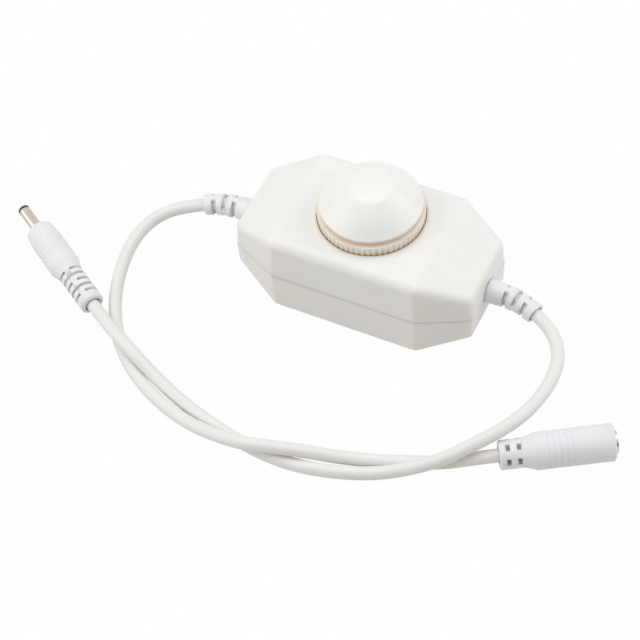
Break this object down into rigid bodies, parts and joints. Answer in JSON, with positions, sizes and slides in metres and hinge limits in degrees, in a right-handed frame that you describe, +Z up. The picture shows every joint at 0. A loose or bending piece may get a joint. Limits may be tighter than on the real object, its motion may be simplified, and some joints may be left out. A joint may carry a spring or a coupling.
{
  "type": "rotary cord dimmer",
  "caption": "In-line rotary dimmer for low-voltage lamps: faceted two-part case, sunk domed knob, and two strain-relieved leads that end in a barrel plug and a barrel jack.",
  "frame": {"origin": "middle of the case's underside, which lies on the floor", "axes": "+X along the case towards the strain relief of the lead that has the plug, +Y away from the leads, +Z up along the knob's axis"},
  "size_m": [0.1978, 0.0929, 0.0412],
  "materials": {
    "case_shell": "satin moulded",
    "knob_plastic": "satin moulded",
    "soft_vinyl": "soft satin moulded",
    "lead_sheath": "smooth extruded",
    "nickel": "nickel plated",
    "contact_metal": "plated",
    "dark_insulator": "moulded",
    "steel": "zinc plated",
    "shaft_metal": "turned",
    "board_laminate": "coated laminate",
    "track_laminate": "bare laminate",
    "red_wire": "extruded",
    "black_wire": "extruded"
  },
  "bodies": {
    "case": {"upper_case": "case_shell", "lower_case": "case_shell", "relief_plug_side": "soft_vinyl", "relief_jack_side": "soft_vinyl", "plug_body": "soft_vinyl", "jack_body": "soft_vinyl", "plug_lead": "lead_sheath", "jack_lead": "lead_sheath", "plug_barrel": "nickel", "jack_sleeve": "nickel", "plug_contact": "contact_metal", "jack_pin": "contact_metal", "pot_bushing": "contact_metal", "pot_nut": "contact_metal", "plug_insulator": "dark_insulator", "jack_insert": "dark_insulator", "transistor": "dark_insulator", "timer_chip": "dark_insulator", "diode": "dark_insulator", "resistors": "dark_insulator", "case_screws": "steel", "board_screws": "steel", "pot_can": "steel", "pot_washer": "steel", "pot_terminals": "steel", "capacitor": "shaft_metal", "circuit_board": "board_laminate", "pot_track": "track_laminate", "supply_wire_red": "red_wire", "load_wire_red": "red_wire", "supply_wire_black": "black_wire", "load_wire_black": "black_wire"},
    "knob": {"knob": "knob_plastic", "pot_shaft": "shaft_metal", "pot_wiper": "dark_insulator"}
  },
  "joints": [
    {"name": "knob_turn", "type": "hinge", "parent": "case", "child": "knob", "pos_m": [0, 0.0023, 0.0286], "axis": [0, 0, 1], "range_deg": [-280, 0]}
  ]
}
